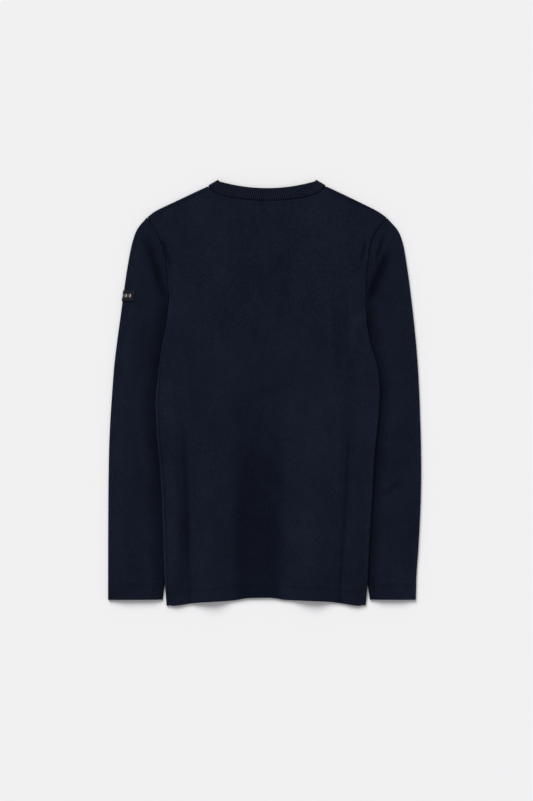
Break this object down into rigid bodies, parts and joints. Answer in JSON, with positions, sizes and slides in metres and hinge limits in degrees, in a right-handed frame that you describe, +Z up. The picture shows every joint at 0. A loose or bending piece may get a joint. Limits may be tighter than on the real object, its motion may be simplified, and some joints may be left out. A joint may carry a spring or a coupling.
{
  "type": "long-sleeved wool pullover laid flat",
  "caption": "Fine long-sleeved wool pullover with a ribbed crew neck, laid flat on its front with its back facing up.",
  "frame": {"origin": "middle of the rectangle that the laid garment covers, on the surface that it lies on", "axes": "+Z up from the surface, +Y along the garment from the hem to the neck, +X to the right as seen from above, with the back of the garment facing up"},
  "size_m": [0.5174, 0.7031, 0.0132],
  "materials": {
    "wool_jersey": "milled navy wool jersey, matt with a faint nap",
    "wool_rib": "navy wool, 1x1 rib, matt",
    "woven_label": "charcoal woven tape with small plain coloured bars"
  },
  "bodies": {
    "root": {"front_body": "wool_jersey", "back_body": "wool_jersey", "sleeve_left": "wool_jersey", "sleeve_right": "wool_jersey", "neck_band": "wool_rib", "arm_label": "woven_label"}
  },
  "joints": []
}
